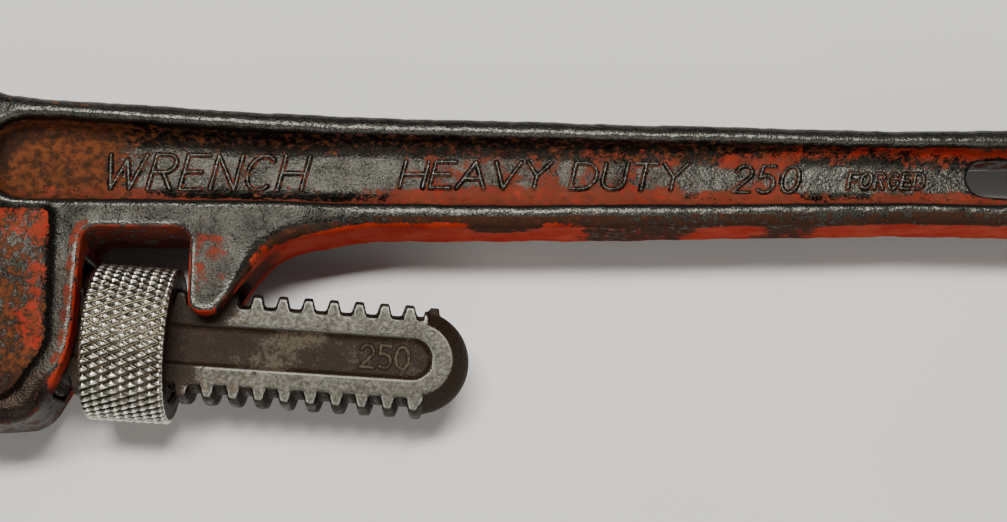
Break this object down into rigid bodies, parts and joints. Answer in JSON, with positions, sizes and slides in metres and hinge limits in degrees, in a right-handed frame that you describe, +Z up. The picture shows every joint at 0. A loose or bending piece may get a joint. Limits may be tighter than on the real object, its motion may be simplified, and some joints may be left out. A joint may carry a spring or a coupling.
{
  "type": "pipe wrench",
  "caption": "Heavy straight pipe wrench with an I-beam handle, a toothed heel jaw and a sliding hook jaw moved by a knurled nut on its threaded shank",
  "frame": {"origin": "on the surface that the wrench lies on, under the middle of its bounding box", "axes": "X along the handle, from the head (-X) to the hang hole (+X); Y to the side where the jaws open; Z up, out of the wrench's side face"},
  "size_m": [0.2282, 0.0624, 0.0247],
  "materials": {
    "handle_casting": "rough dark casting with worn orange-red paint left in the hollows and on the under side, and brown rust in the web's end",
    "jaw_steel": "dark forged steel, worn bright on the tooth tips",
    "hook_steel": "ground steel flats gone grey, with brown grime in the groove and dark oiled thread flanks",
    "nut_steel": "bright diamond knurl with dark oil in its grooves",
    "spring_steel": "blue-black tempered spring steel",
    "pin_steel": "dull peened steel"
  },
  "bodies": {
    "handle_body": {"handle": "handle_casting", "heel_jaw": "jaw_steel", "heel_jaw_pin": "pin_steel", "coil_spring": "spring_steel"},
    "spring_leaf": {"flat_spring": "spring_steel", "spring_rivet": "pin_steel"},
    "hook_body": {"hook_jaw": "hook_steel"},
    "nut_body": {"adjusting_nut": "nut_steel"}
  },
  "joints": [
    {"name": "jaw_rock", "type": "hinge", "parent": "handle_body", "child": "spring_leaf", "pos_m": [-0.0479, -0.01715, 0.01233], "axis": [0, 0, -1], "range_deg": [0, 3], "stiffness_Nm_per_rad": 2.2, "springref_deg": -2.86, "deforming": ["coil_spring"]},
    {"name": "jaw_slide", "type": "slide", "parent": "spring_leaf", "child": "hook_body", "axis": [-0.998, 0.0628, 0], "range_m": [-0.0035, 0.0425]},
    {"name": "nut_spin", "type": "hinge", "parent": "spring_leaf", "child": "nut_body", "pos_m": [-0.0479, -0.01715, 0.01233], "axis": [0.998, -0.0628, 0], "range_deg": [-316, 3826]}
  ],
  "couplings": [
    {"joint": "nut_spin", "follows": "jaw_slide", "rad_per_m": 1570.8}
  ]
}
